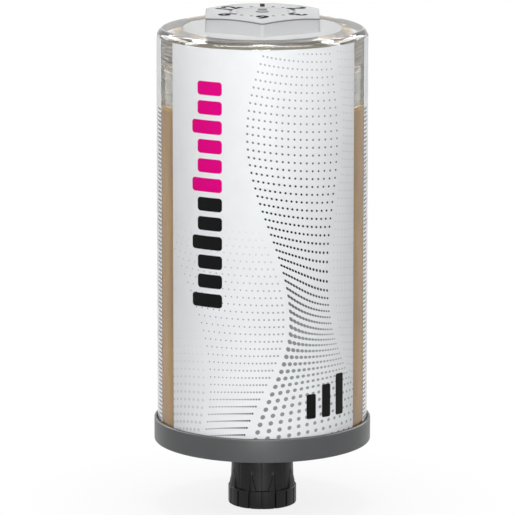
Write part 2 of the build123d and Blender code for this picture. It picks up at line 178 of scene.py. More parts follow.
def rounded(corners, steps=4):
    """A closed outline from corners of (radius, height) or (radius, height, fillet)."""
    places = [Vector(corner[:2]) for corner in corners]
    outline = []
    for index, corner in enumerate(corners):
        if len(corner) == 2:
            outline.append(tuple(corner))
            continue
        here, fillet = places[index], corner[2]
        back = (places[index - 1] - here).normalized()
        on = (places[(index + 1) % len(places)] - here).normalized()
        half = back.angle(on) / 2
        centre = here + (back + on).normalized() * fillet / sin(half)
        first = here + back * fillet / tan(half) - centre
        last = here + on * fillet / tan(half) - centre
        for step in range(steps + 1):
            outline.append(tuple(centre + first.lerp(last, step / steps).normalized() * fillet))
    return outline


def stand(name, data):
    """Puts a mesh, a text, a lamp or a camera into the scene."""
    thing = bpy.data.objects.new(name, data)
    bpy.context.collection.objects.link(thing)
    return thing


def mesh_of(name, form):
    """A finished form's mesh."""
    mesh = bpy.data.meshes.new(name)
    form.to_mesh(mesh)
    form.free()
    return mesh


def wrap(name, columns, closed=True, crease=32.0):
    """A piece whose skin runs through columns of (radius, height, angle), in millimetres and radians."""
    form = bmesh.new()

    def corner(r, z, turn):
        return form.verts.new((r * cos(turn) * MM, r * sin(turn) * MM, z * MM))

    grid = [[corner(*place) for place in column] for column in columns]
    rows = len(grid[0])
    for index in range(len(grid) if closed else len(grid) - 1):
        here, there = grid[index], grid[(index + 1) % len(grid)]
        for row in range(rows):
            up = (row + 1) % rows
            form.faces.new((here[row], there[row], there[up], here[up]))
    if not closed:
        form.faces.new(grid[0])
        form.faces.new(reversed(grid[-1]))
    bmesh.ops.remove_doubles(form, verts=form.verts, dist=1e-7)
    bmesh.ops.recalc_face_normals(form, faces=form.faces)
    piece = stand(name, mesh_of(name, form))
    piece.data.shade_smooth()
    piece.data.set_sharp_from_angle(angle=radians(crease))
    return piece


def turned(name, segments, profile, crease=32.0):
    """A piece round the axis, from its outline's places of (radius, height) at each angle."""
    columns = []
    for index in range(segments):
        turn = TURN * index / segments
        columns.append([(r, z, turn) for r, z in profile(turn)])
    return wrap(name, columns, crease=crease)


def ridge(height, turn, pitch, first=-inf, last=inf):
    """How far a right-hand thread's ridge stands at a place, from 0 to 1, fading out at its ends."""
    phase = height / pitch - turn / TURN
    wave = 0.5 - 0.5 * cos(TURN * phase)
    fade = min(1, max(0, (height - first) / pitch)) * min(1, max(0, (last - height) / pitch))
    # The wave is cut off at 1, which gives the ridge a flat crest
    return min(1, 1.35 * wave) * fade


def climb(low, high, pitch, radius, steps=12):
    """Closely spaced outline places up a threaded wall."""
    count = int(abs(high - low) / pitch * steps)
    return [(radius, low + (high - low) * index / count) for index in range(count + 1)]


def dress(piece, body, material_slot, nodes, *finishes):
    """Hangs a new piece on its body, in place of its plain nodes, with its finishes."""
    for finish in finishes:
        piece.data.materials.append(finish)
    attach(piece, body)
    if nodes:
        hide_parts(*nodes)


def coat(node, finish):
    """Gives a fixed solid its finish."""
    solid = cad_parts[node]
    if not solid.material_slots:
        solid.data.materials.append(finish)
    for place in solid.material_slots:
        place.material = finish


# ---------------- Finishes


class Value:
    """What a node gives out. Where that is a number, it takes ordinary arithmetic."""

    def __init__(self, tree, socket):
        self.tree, self.socket = tree, socket

    def maths(self, operation, *others):
        return self.tree.maths(operation, self, *others)

    def __add__(self, other):
        return self.maths("ADD", other)

    __radd__ = __add__

    def __sub__(self, other):
        return self.maths("SUBTRACT", other)

    def __rsub__(self, other):
        return self.tree.maths("SUBTRACT", other, self)

    def __mul__(self, other):
        return self.maths("MULTIPLY", other)

    __rmul__ = __mul__

    def __truediv__(self, other):
        return self.maths("DIVIDE", other)

    def __rtruediv__(self, other):
        return self.tree.maths("DIVIDE", other, self)

    def __abs__(self):
        return self.maths("ABSOLUTE")

    def floor(self):
        return self.maths("FLOOR")

    def part(self):
        return self.maths("FRACT")

    def root(self):
        return self.maths("SQRT")

    def at_least(self, other):
        return self.maths("MAXIMUM", other)

    def at_most(self, other):
        return self.maths("MINIMUM", other)

    def held(self):
        """Kept between 0 and 1."""
        return self.at_least(0).at_most(1)

    def above(self, level, soft=0.05):
        """1 over a level and 0 under it, with a soft edge."""
        return ((self - level) / soft + 0.5).held()


class NodeTree:
    """A tree of shader nodes, built up from values."""

    def __init__(self, tree):
        self.tree = tree
        tree.nodes.clear()

    def feed(self, socket, value):
        """Links a value to a socket or sets it there."""
        if isinstance(value, Value):
            self.tree.links.new(value.socket, socket)
        elif hasattr(socket.default_value, "__len__") and len(value) == 3 and len(socket.default_value) == 4:
            socket.default_value = (*value, 1)
        else:
            socket.default_value = value

    def node(self, kind, settings=None, sockets=None, output=0):
        """A node of a type, with its settings and then its sockets, given by an output if it has any."""
        made = self.tree.nodes.new(kind)
        for name, choice in (settings or {}).items():
            setattr(made, name, choice)
        for name, value in (sockets or {}).items():
            self.feed(made.inputs[name], value)
        return Value(self, made.outputs[output]) if made.outputs else made

    def maths(self, operation, *numbers):
        return self.node("ShaderNodeMath", {"operation": operation}, dict(enumerate(numbers)))

    def any_ray(self, *kinds):
        """1 for rays of the given kinds, 0 for others."""
        hit = self.node("ShaderNodeLightPath", output=kinds[0])
        for kind in kinds[1:]:
            hit = hit.at_least(self.node("ShaderNodeLightPath", output=kind))
        return hit

    def looked_at(self):
        """1 for what the camera sees, straight or in a gloss or through something clear."""
        return self.any_ray("Is Camera Ray", "Is Glossy Ray", "Is Transmission Ray")

    def blend(self, share, first, second):
        """One shader fading into another."""
        return self.node("ShaderNodeMixShader", None, {0: share, 1: first, 2: second})


class Finish(NodeTree):
    """A material round a Principled shader, whose uniform values are given by name."""

    def __init__(self, name, **uniform):
        self.material = bpy.data.materials.new(name)
        self.material.use_nodes = True
        super().__init__(self.material.node_tree)
        self.surface = self.node("ShaderNodeBsdfPrincipled")
        self.inputs = self.surface.socket.node.inputs
        self.output = self.node("ShaderNodeOutputMaterial", None, {"Surface": self.surface})
        for socket, value in uniform.items():
            self.feed(self.inputs[socket.replace("_", " ").title().replace("Ior", "IOR")], value)

    def place(self):
        """Where a point of the piece lies in its own space."""
        return self.node("ShaderNodeTexCoord", output="Object")

    def axes(self):
        """The place's x, y and z in millimetres."""
        split = self.node("ShaderNodeSeparateXYZ", None, {0: self.place()})
        return [Value(self, socket) * (1 / MM) for socket in split.socket.node.outputs]

    def out(self):
        """Distance from the axis in millimetres."""
        x, y, _ = self.axes()
        return (x * x + y * y).root()

    def grain(self, scale, detail=4.0, roughness=0.55, stretch=None):
        """Noise from 0 to 1, with scale in cells a metre, and perhaps stretched along its axes."""
        place = self.place()
        if stretch:
            place = self.node("ShaderNodeVectorMath", {"operation": "MULTIPLY"}, {0: place, 1: stretch})
        sockets = {"Vector": place, "Scale": scale, "Detail": detail, "Roughness": roughness}
        return self.node("ShaderNodeTexNoise", None, sockets)

    def mix(self, amount, first, second):
        """One colour fading into another."""
        return self.node("ShaderNodeMix", {"data_type": "RGBA"}, {0: amount, 6: first, 7: second}, output=2)

    def paint(self, colour):
        self.feed(self.inputs["Base Color"], colour)

    def roughen(self, value):
        self.feed(self.inputs["Roughness"], value)

    def bump(self, height, strength, depth):
        """Raises the surface by a height map, with depth in millimetres."""
        sockets = {"Height": height, "Strength": strength, "Distance": depth * MM}
        self.feed(self.inputs["Normal"], self.node("ShaderNodeBump", None, sockets))

    def show(self, surface):
        self.feed(self.output.inputs["Surface"], surface)

    def pass_light(self, tint, share):
        """Lets a share of the lamps' light through to what lies behind, while the surface looks the same."""
        soft = self.any_ray("Is Diffuse Ray", "Is Shadow Ray")
        bare = self.node("ShaderNodeBsdfTransparent", None, {"Color": tint})
        self.show(self.blend(soft * share, self.surface, bare))


def shade(colour, amount):
    """A darker or lighter cousin of a colour."""
    return tuple(min(1, channel * amount) for channel in colour)


def moulded(name, colour, rough=0.45, spread=0.12, grain=2600.0, depth=0.02, **uniform):
    """Moulded plastic: a fine spark-eroded grain, a cloudy tint and slightly uneven gloss."""
    finish = Finish(name, **uniform)
    cloud = finish.grain(90.0, 3.0)
    fine = finish.grain(grain, 5.0)
    finish.paint(finish.mix(cloud, shade(colour, 1 - spread), shade(colour, 1 + spread)))
    finish.roughen(cloud * 0.12 + fine * 0.1 + (rough - 0.1))
    finish.bump(fine, 0.5, depth)
    return finish.material


def clear_plastic(refracted_grease_tint, top):
    """Clear moulded plastic with faint flow waves, which lets the lamps' light through to what it holds.

    A brown ring is painted on its top, round the head's flange: a painted image of the grease seen refracted
    through the clear top.
    """
    tint = pigment(248, 247, 243)
    finish = Finish("clear_casing", transmission_weight=1.0, ior=1.47)
    waves = finish.grain(55.0, 2.0, 0.4, stretch=(1.0, 1.0, 0.25))
    specks = finish.grain(900.0, 2.0)
    out, height = finish.out(), finish.axes()[2]
    painted_ring_inner, painted_ring_outer = 19.2, 21.8
    # The painted brown ring on the top stands in for the grease seen refracted through the clear plastic
    film = out.above(painted_ring_inner, 0.1) * (1 - out.above(painted_ring_outer, 1.6)) * height.above(top - 0.2, 0.1)
    finish.paint(finish.mix(film, tint, refracted_grease_tint))
    finish.roughen(waves * 0.03 + specks * 0.02)
    finish.bump(waves, 0.35, 0.05)
    finish.pass_light(tint, 1)
    return finish.material


def greased(name, colour, streak, scale=160.0):
    """Soft grease that has been pressed against a clear wall."""
    finish = Finish(name, subsurface_weight=0.15, subsurface_radius=(0.003, 0.002, 0.001), coat_weight=0.3)
    folds = finish.grain(scale, 6.0, 0.6, stretch=(1.0, 1.0, 0.35))
    dapple = finish.grain(scale * 6, 3.0)
    finish.paint(finish.mix((folds - 0.3) * 1.9 + (dapple - 0.5) * 0.3, streak, colour))
    finish.roughen(folds * 0.25 + 0.25)
    finish.bump(folds, 0.6, 0.3)
    return finish.material


def film_sheet(finish, colours):
    """The label's white film with a faint mottle, and a mask of its outer face, which alone is printed."""
    mottle = finish.grain(220.0, 3.0)
    fine = finish.grain(3000.0, 3.0)
    finish.roughen(mottle * 0.08 + fine * 0.06 + 0.3)
    finish.bump(fine, 0.25, 0.01)
    outer = finish.out().above(LABEL_RADIUS - FILM / 2, 0.03)
    return finish.mix(mottle, shade(colours.label, 0.96), shade(colours.label, 1.03)), outer


def round_the_casing(finish):
    """Distance round the casing from the front, to the right, and height, both in millimetres."""
    x, y, z = finish.axes()
    return finish.maths("ARCTAN2", x, y * -1) * LABEL_RADIUS, z


def rounded_bar(across, along, half_width, half_height, corner):
    """A mask of a bar with round corners, from distances to its middle."""
    side = abs(across) - (half_width - corner)
    end = abs(along) - (half_height - corner)
    outside = side.at_least(0) * side.at_least(0) + end.at_least(0) * end.at_least(0)
    reach = outside.root() + side.at_least(end).at_most(0)
    return 1 - reach.above(corner, 0.12)


def at(rule, *places):
    """What a rule gives at some places. A rule may be a plain number, too."""
    return rule(*places) if callable(rule) else rule


def halftone(across, height, row, left, right, columns, lean, drop, size, tone):
    """One field of the halftone: rows of dots between two edges, which lean on an end and drop to the right.

    The edges, the lean and the drop are rules of a height, and the dots' size and tone are rules of a row's
    height and the share across.
    """
    share = (across - at(left, height)) / (at(right, height) - at(left, height))
    level = (height + share * (1.75 - share * 0.75) * at(drop, height)) / row
    over = (level.part() - 0.5) * row
    line = (level.floor() + 0.5) * row
    width = at(right, line) - at(left, line)
    share = (across - at(left, line)) / width
    packed = (share * (1 - share) * at(lean, line) + share) * columns
    beside = (packed.part() - 0.5) * width / (((1 - share * 2) * at(lean, line) + 1) * columns)
    reach = (beside * beside + over * over).root()
    inside = share.above(0, 0.001) * (1 - share.above(1, 0.001))
    return (at(size, line, share) - reach).above(0, 0.12) * inside * at(tone, line, share)


def dot_fields(across, height, row):
    """The front film's swaying halftone: a main field, a finer one beside it and a faint one at each edge."""

    def sway(line):
        """The main field's left edge, which swings out at mid-height."""
        lift = line - 50
        turn = lift.at_least(0) / 14.2 + lift.at_most(0) / 11.6
        return turn.maths("COSINE") * 5.3 + 1.1

    def brink(line):
        """The main field's right edge, which spreads towards the foot."""
        lift = line - 64
        below = lift.at_most(0)
        return (lift.at_least(0) / 9.7).maths("COSINE") * -1.75 + below * below * 0.0077 + 18.55

    def flank(line):
        """The left edge of the fine field at the lower left."""
        lift = line - 33
        return lift * lift * -0.0115 - 13.2

    def low(line):
        """1 in the lower half, 0 in the upper one."""
        return 1 - line.above(55, 14)

    def main_drop(line):
        hump = (line - 55) / 9
        return 3.3 / (hump * hump + 1) - (1 - line.above(40, 14)) * 5 + 2.2

    def main_size(line, share):
        return low(line) * (0.2 - share * 0.26) - (line - 65) * 0.0015 - share * 0.04 + 0.315

    def main_tone(line, share):
        return ((113 - line) / 60 + 0.5).held() * (1 - low(line) * (share * 0.25 + 0.28))

    def fine_tone(line, share):
        strength = 0.75 - share * 0.15 + (1 - line.above(29, 8)) * 0.4
        return ((1 - line.above(64, 22)) * strength).held()

    def field(**rules):
        return halftone(across, height, row, **rules)

    main = field(
        left=sway, right=brink, columns=16,
        lean=lambda line: 0.2 - low(line) * 0.5, drop=main_drop, size=main_size, tone=main_tone,
    )
    fine = field(
        left=flank, right=lambda line: sway(line) - 0.9, columns=17,
        lean=-0.2, drop=lambda line: (line - 45) * 0.06,
        size=lambda line, share: share * share * 0.1 + 0.16, tone=fine_tone,
    )
    faint = field(
        left=lambda line: brink(line) + 1, right=27.5, columns=8,
        lean=0, drop=1, size=lambda line, share: share * -0.05 + 0.2, tone=0.2,
    )
    edge = field(
        left=-25.4, right=lambda line: flank(line) - 0.8, columns=8,
        lean=0, drop=-1.5, size=lambda line, share: (45 - line) * 0.011 + 0.16,
        tone=lambda line, share: (1 - line.above(40, 20)) * 0.22,
    )
    return (main + fine + faint + edge) * (1 - height.above(113.4, 0.1))


def stacked_bars(across, height):
    """The column of bars at the left, of which every third reaches further out."""
    pitch, foot, top = 4.6, 52, 107.2
    offset, half_width, half_height, corner = 13, 3.3, 1.65, 0.8
    step = (height - foot) / pitch
    along = (step.part() - 0.5) * pitch
    further = (1 - (step.floor() / 3 + 0.1).part().above(0.2, 0.01)) * 0.8
    bars = rounded_bar(across + offset + further, along, further + half_width, half_height, corner)
    return bars * height.above(foot) * (1 - height.above(top))


def rising_bars(across, height):
    """The three upright bars at the lower right, each taller than the one before."""
    first, pitch, foot = 12, 4.2, 25.8
    bars = 0
    for index in range(3):
        half = 3 + index
        bars = rounded_bar(across - first - pitch * index, height - foot - half, 1.25, half, 0.5) + bars
    return bars


def printed_label(sizes, colours):
    """The front film: a swaying halftone of dots, a column of bars in two inks and three bars at its foot."""
    finish = Finish("front_label_print", specular_ior_level=0.1)
    white, outer = film_sheet(finish, colours)
    across, height = round_the_casing(finish)
    column = stacked_bars(across, height)
    bright = height.above(79.6)
    page = finish.mix(dot_fields(across, height, sizes.print_pitch / MM) * outer, white, colours.ink)
    page = finish.mix(rising_bars(across, height) * outer, page, colours.ink)
    page = finish.mix(column * (1 - bright) * outer, page, colours.ink)
    finish.paint(finish.mix(column * bright * outer, page, colours.accent))
    finish.pass_light(colours.label, 0.6)
    return finish.material


def level_scale(around, height, pitch):
    """Ticks up both edges of the rear film, of which every fifth is longer."""
    foot, top, end = 22.5, 98, 34.6
    along = abs((height / pitch).part() - 0.5) * pitch
    fifth = (abs((height / (5 * pitch)).part() - 0.5) * 5).above(2.0, 0.01)
    ticks = (1 - along.above(0.2, 0.1)) * (1 - (around - fifth * 1.2).above(end, 0.1))
    return ticks * (1 - height.above(top, 0.1)) * height.above(foot, 0.1)


def plain_lines(around, height):
    """Lines of differing length at the middle of the rear film, in two blocks."""
    pitch, foot, top, gap = 3.2, 38.4, 83.2, 59.2
    step = height / pitch
    half = (step.floor() * 0.618).part() * 6 + 9
    lines = rounded_bar(LABEL_RADIUS * pi - around, (step.part() - 0.5) * pitch, half, 0.55, 0.3)
    lines = lines * height.above(foot) * (1 - height.above(top))
    return lines * abs(height - gap).above(pitch)


def scaled_label(sizes, colours):
    """The rear film, with a level scale of ticks up both of its edges and plain lines at its middle."""
    finish = Finish("rear_label_print", coat_weight=0.5, coat_roughness=0.08)
    white, outer = film_sheet(finish, colours)
    across, height = round_the_casing(finish)
    around = abs(across)
    dark = level_scale(around, height, sizes.tick_pitch / MM) + plain_lines(around, height) * 0.6
    finish.paint(finish.mix(dark * outer, white, colours.ink))
    finish.pass_light(colours.label, 0.6)
    return finish.material


def brushed_metal(name, colour, rough=0.3):
    """Drawn or stamped metal with fine scratches round the axis."""
    finish = Finish(name, metallic=1.0)
    scratches = finish.grain(700.0, 6.0, 0.7, stretch=(1.0, 1.0, 12.0))
    stain = finish.grain(180.0, 3.0)
    finish.paint(finish.mix(stain, shade(colour, 0.8), colour))
    finish.roughen(scratches * 0.2 + (rough - 0.1))
    finish.bump(scratches, 0.3, 0.01)
    return finish.material


# ---------------- Pieces


class PieceMaker:
    """What the makers share."""

    bl_options = {"REGISTER"}

    @staticmethod
    def settings(context):
        return context.scene.lubricator_sizes, context.scene.lubricator_colours


class LUBRICATOR_OT_casing(PieceMaker, Operator):
    """The clear casing, with the generator's thread in its collar"""

    bl_idname = "lubricator.casing"
    bl_label = "Casing"

    def execute(self, context):
        sizes, colours = self.settings(context)
        pitch, depth = sizes.head_pitch / MM, sizes.head_depth / MM
        radius, top, foot = CASING_HIGH.x, CASING_HIGH.z, CASING_LOW.z
        bore, collar, gland = radius - CASING_WALL, top - COLLAR_HEIGHT, top - 3.36
        foot_radius, step = radius - 0.4, BASE_HIGH.z - 0.1
        seat = top - FLANGE_THICKNESS
        mouth, gland_radius, collar_bore = 19.1, 18.32, 17.6
        outer = rounded([
            (bore, foot), (foot_radius, foot, 0.15), (foot_radius, step), (radius, step),
            (radius, top, 1.7), (mouth, top, 0.12), (mouth, seat),
            (gland_radius, seat), (gland_radius, gland), (collar_bore, gland),
        ], steps=8)
        wall = climb(gland - 0.01, collar + 0.01, pitch, collar_bore)
        inner = rounded([(collar_bore, collar), (bore, collar, 0.35), (bore, foot)])[1:-1]

        def profile(turn):
            thread = [(r - depth * (1 - ridge(z, turn, pitch)), z) for r, z in wall]
            return outer + thread + inner

        piece = turned("casing_shell", 256, profile)
        # The tint is the painted brown ring on the casing's top, in place of the grease seen refracted
        # through it
        finish = clear_plastic(shade(colours.grease_dark, 0.6), top)
        dress(piece, "housing", "clear_plastic", ["casing"], finish)
        return {"FINISHED"}


class LUBRICATOR_OT_base(PieceMaker, Operator):
    """The grey base plate with the outlet neck's thread"""

    bl_idname = "lubricator.base"
    bl_label = "Base Plate"

    def execute(self, context):
        sizes, colours = self.settings(context)
        pitch, depth = sizes.neck_pitch / MM, sizes.neck_depth / MM
        radius, top, foot = BASE_HIGH.x, BASE_HIGH.z, BASE_LOW.z
        floor, root, rim_bore = top - RIM_HEIGHT, NECK_ROOT, radius - 0.7
        seat, spigot_top, spigot, bore = floor + 1.5, floor + 2.3, 23.3, 3.0
        neck = climb(foot + 0.5, floor - 0.41, pitch, root)
        rest = rounded([
            (root, floor - 0.4), (root + 0.4, floor), (radius, floor, 0.4), (radius, top, 0.35),
            (rim_bore, top, 0.15), (rim_bore, seat), (spigot, seat), (spigot, spigot_top),
            (bore, spigot_top, 0.3), (bore, foot, 0.2), (root - 0.5, foot),
        ], steps=5)

        def profile(turn):
            return [(r + depth * ridge(z, turn, pitch, foot + 0.6, floor - 1.2), z) for r, z in neck] + rest

        piece = turned("base_rim", 240, profile)
        finish = moulded("base_moulding", colours.base, 0.36, specular_ior_level=0.35)
        dress(piece, "housing", "grey_plastic", ["base_plate"], finish)
        return {"FINISHED"}


class LUBRICATOR_OT_cap(PieceMaker, Operator):
    """The outlet cap: its grooved ring, eight gussets, tapered pockets and inner thread"""

    bl_idname = "lubricator.cap"
    bl_label = "Outlet Cap"

    def execute(self, context):
        sizes, colours = self.settings(context)
        pitch, depth = sizes.neck_pitch / MM, sizes.neck_depth / MM - 0.1
        ring, top, foot = CAP_HIGH.x, CAP_HIGH.z, CAP_LOW.z
        ring_top, gusset_top, groove_top, floor = foot + 4.5, foot + 9.3, foot + 4.05, foot + 2.0
        body, flared, gusset, bore = 7.43, 7.62, ring - 0.15, 6.659
        gussets = 8
        # Half the angle of a gusset with its pocket, of the pocket at its foot, and of a groove
        sector, pocket, groove = pi / gussets, radians(11.0), atan(0.275 / ring)
        # Places from a pocket's middle to a gusset's: (share, over the gusset, in the groove, in the pocket)
        near = groove / pocket
        far = 1 - groove / (sector - pocket)
        places = [(0, 0, 1, 1), (near * 0.9, 0, 1, 1)]
        places += [(share, 0, 0, 1) for share in (near, 0.45, 0.75, 0.97)]
        places += [(share, 1, 0, 0) for share in (0.03, 0.3, 0.6, far)] + [(far + 0.02, 1, 1, 0)]
        whole = places + [(1, 1, 1, 0)] + [(-share, *zones) for share, *zones in reversed(places[1:])]
        inside = climb(top - 0.5, foot + 3.0, pitch, bore)

        def turn_at(height, middle, share, over_gusset):
            """The angle of a place, whose pocket narrows to nothing up the cap."""
            rise = min(1, max(0, (height - ring_top) / (gusset_top - ring_top)))
            half = pocket + (sector - pocket) * rise
            offset = half + (sector - half) * abs(share) if over_gusset else half * abs(share)
            return middle + (-offset if share < 0 else offset)

        def outside(in_groove, in_pocket):
            """The outline from the middle of the foot, up the ring and the gusset or pocket, to the bore."""
            cut = 0.35 if in_groove else 0
            outline = [(0, foot), (ring - 0.7, foot), (ring - 0.36 - cut * 0.5, foot + 0.03)]
            outline += [(ring - 0.08 - cut, foot + 0.2), (ring - cut, foot + 0.45)]
            outline += [(ring - cut, groove_top - 0.08), (ring - cut * 0.3, groove_top)]
            outline += [(ring, groove_top + 0.1), (ring, ring_top - 0.12), (ring - 0.1, ring_top)]
            wall = flared if in_pocket else gusset
            for rise in (step / 8 for step in range(9)):
                height = ring_top + 0.001 + (gusset_top - ring_top) * rise
                outline.append((wall + (body - wall) * rise, height))
            outline += [(body, top - 0.35), (body - 0.1, top - 0.08), (body - 0.3, top)]
            return outline + [(bore + 0.3, top), (bore, top - 0.3)]

        columns = []
        for middle in (2 * sector * index for index in range(gussets)):
            for share, over_gusset, in_groove, in_pocket in whole:
                column = [
                    (r, z, turn_at(z, middle, share, over_gusset)) for r, z in outside(in_groove, in_pocket)
                ]
                turn = turn_at(top, middle, share, over_gusset)
                for r, z in inside:
                    aside = turn_at(z, middle, share, over_gusset)
                    valley = depth * (1 - ridge(z, aside, pitch)) * min(1, top - 0.4 - z)
                    column.append((r - valley, z, aside))
                column += [(bore, floor + 0.5, turn), (bore, floor, turn), (0, floor, turn)]
                columns.append(column)
        piece = wrap("cap_shell", columns, crease=28.0)
        coarse = {"grain": 2200.0, "depth": 0.03}
        finish = moulded("cap_moulding", colours.cap, 0.4, 0.2, **coarse, specular_ior_level=0.2)
        dress(piece, "cap", "black_plastic", ["outlet_cap"], finish)
        return {"FINISHED"}


class LUBRICATOR_OT_labels(PieceMaker, Operator):
    """The two printed films round the casing, with a clear window at each side between them"""

    bl_idname = "lubricator.labels"
    bl_label = "Labels"

    @staticmethod
    def film(name, start, end):
        """A film between two angles in degrees."""
        inner, outer, foot, top = LABEL_RADIUS - FILM, LABEL_RADIUS, LABEL_LOW.z, LABEL_HIGH.z
        edge = rounded([(inner, foot), (outer, foot, 0.03), (outer, top, 0.03), (inner, top)], steps=2)
        degrees_per_face = 1.2
        count = int((end - start) / degrees_per_face)
        turns = [radians(start + (end - start) * index / count) for index in range(count + 1)]
        return wrap(name, [[(r, z, turn) for r, z in edge] for turn in turns], closed=False)

    def execute(self, context):
        sizes, colours = self.settings(context)
        # Where the films end on each side of the front, which stands at -90 degrees
        front_left, front_right, rear_left, rear_right = 57.0, 59.0, 72.7, 73.7
        front = self.film("front_label_film", -90 - front_left, -90 + front_right)
        dress(front, "housing", "label_film", ["front_label"], printed_label(sizes, colours))
        rear = self.film("rear_label_film", -90 + rear_right, 270 - rear_left)
        dress(rear, "housing", "label_film", ["rear_label"], scaled_label(sizes, colours))
        return {"FINISHED"}


class LUBRICATOR_OT_grease(PieceMaker, Operator):
    """The grease column under the piston, with an oily skin at its top"""

    bl_idname = "lubricator.grease"
    bl_label = "Grease"

    def execute(self, context):
        _, colours = self.settings(context)
        # It wets the casing's bore, so it stands a hair inside the clear wall
        radius, foot, top = CASING_HIGH.x - CASING_WALL + 0.02, GREASE_LOW.z, GREASE_HIGH.z
        skin, corner, layers = 1.1, 0.3, 12
        outline = [(0, foot), (radius - corner, foot), (radius, foot + corner)]
        for layer in range(1, layers + 1):
            outline.append((radius, foot + corner + (top - skin - foot - corner) * layer / layers))
        outline += [(radius, top - 0.15), (radius - 0.15, top), (0, top)]
        piece = turned("grease_column", 128, lambda turn: outline)
        body = greased("grease_body", colours.grease, colours.grease_dark)
        oil = greased("grease_skin", colours.oil, shade(colours.oil, 0.7), 300.0)
        dress(piece, "housing", "grease", ["grease_fill"], body, oil)
        for face in piece.data.polygons:
            if face.center.z > (top - skin) * MM:
                face.material_index = 1
        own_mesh(piece)
        coat("outlet_grease", body)
        return {"FINISHED"}


class LUBRICATOR_OT_piston(PieceMaker, Operator):
    """The frosted piston cup, with a brown band painted round its top rim that stands in for the grease seen
    refracted through the casing's top, and its seals
    """

    bl_idname = "lubricator.piston"
    bl_label = "Piston"

    def execute(self, context):
        _, colours = self.settings(context)
        finish = Finish("piston_moulding", transmission_weight=0.1, ior=1.47)
        streaks = finish.grain(260.0, 4.0, 0.6, stretch=(1.0, 1.0, 0.2))
        fine = finish.grain(2400.0, 3.0)
        plastic = finish.mix(streaks, shade(colours.piston, 0.82), shade(colours.piston, 1.12))
        # A brown band painted round the top 0.8 mm of the piston, standing in for the grease seen refracted
        # through the casing's top
        painted_rim_band = finish.axes()[2].above(PISTON_TOP - 0.8, 0.5)
        finish.paint(finish.mix((streaks + 0.6).held() * painted_rim_band, plastic, shade(colours.grease_dark, 0.7)))
        finish.roughen(streaks * 0.2 + 0.3)
        finish.bump(fine, 0.3, 0.02)
        coat("piston", finish.material)
        rubber = moulded("seal_rubber", pigment(196, 194, 188), 0.5, 0.1, grain=1800.0, coat_weight=0.1)
        for node in ("piston_lower_seal", "piston_upper_seal", "head_o_ring", "selector_o_ring"):
            coat(node, rubber)
        return {"FINISHED"}


class LUBRICATOR_OT_head(PieceMaker, Operator):
    """The hexagonal generator head with its flange, thread and dial recess"""

    bl_idname = "lubricator.head"
    bl_label = "Generator Head"

    @staticmethod
    def corner_distance(turn, apothem, fillet):
        """How far a hexagon with rounded corners reaches; one corner points to the front."""
        slant = (turn - pi / 2) % (pi / 3)
        off_corner = min(slant, pi / 3 - slant)
        hub = (apothem - fillet) / cos(pi / 6)
        tangent = atan2(fillet * sin(pi / 6), hub + fillet * cos(pi / 6))
        if off_corner < tangent:
            return hub * cos(off_corner) + sqrt(fillet**2 - (hub * sin(off_corner)) ** 2)
        return apothem / cos(pi / 6 - off_corner)

    @staticmethod
    def head_plastic_with_painted_shade(colour, top):
        """The head's plastic, with a fine dark line of painted shade just under the hexagon's top edge."""
        finish = Finish("head_moulding", specular_ior_level=0.35)
        cloud = finish.grain(90.0, 3.0)
        fine = finish.grain(2400.0, 5.0)
        level = finish.axes()[2] + (finish.out() - BROW_RADIUS).at_least(0) * BROW_SLOPE
        # A thin band of painted shade just under the hexagon's top edge, where the edge reads dark
        line = level.above(top - 0.5, 0.06) * (1 - level.above(top - 0.16, 0.06))
        plastic = finish.mix(cloud, shade(colour, 0.97), shade(colour, 1.03))
        finish.paint(finish.mix(line * 0.8, plastic, shade(colour, 0.15)))
        finish.roughen(cloud * 0.12 + fine * 0.1 + 0.4)
        finish.bump(fine - line, 0.5, 0.015)
        return finish.material

    def execute(self, context):
        sizes, colours = self.settings(context)
        pitch, depth = sizes.head_pitch / MM, sizes.head_depth / MM
        foot, top, flange = HEAD_LOW.z, HEAD_HIGH.z, HEAD_HIGH.x
        face, deck, board, ceiling = top - 0.03, top - HEXAGON_HEIGHT, top - 7.45, top - 3.85
        recess, gland, stem, gland_radius = top - 1.25, top - 2.55, 2.46, 3.7
        cavity, bore, seat = 11.3, 15.4, deck - FLANGE_THICKNESS
        apothem, fillet, rotor_bore = 13.5, 1.3, 6.2
        inner = [
            (rotor_bore, face - 0.12), (rotor_bore, recess), (stem, recess), (stem, gland),
            (gland_radius, gland), (gland_radius, ceiling), (cavity, ceiling), (cavity, board),
            (bore, board), (bore, foot),
        ]
        skirt = [(HEAD_ROOT - 0.4, foot), (HEAD_ROOT, foot + 0.4)]
        skirt += climb(foot + 0.5, seat - 0.05, pitch, HEAD_ROOT)
        plate = [(HEAD_ROOT, seat), (flange, seat), (flange, deck - 0.2), (flange - 0.06, deck - 0.06)]
        plate.append((flange - 0.2, deck))

        def profile(turn):
            reach = self.corner_distance(turn, apothem, fillet)
            brow = face - BROW_SLOPE * max(0, reach - BROW_RADIUS)
            shoulder = min(BROW_RADIUS, reach - 0.18)
            thread = [(r + depth * ridge(z, turn, pitch, deck - 11.5, deck - 2.6), z) for r, z in skirt]
            sides = [(reach + 0.35, deck), (reach + 0.1, deck + 0.1), (reach, deck + 0.35)]
            sides += [(reach, brow - 0.2), (reach - 0.05, brow - 0.06), (reach - 0.18, brow + 0.02)]
            crown = [(shoulder - 0.05, face), (10.0, face), (rotor_bore + 0.12, face)]
            return thread + plate + sides + crown + inner

        piece = turned("head_body", 360, profile, crease=24.0)
        dress(piece, "generator", "grey_plastic", ["generator_head"], self.head_plastic_with_painted_shade(colours.head, top))
        return {"FINISHED"}


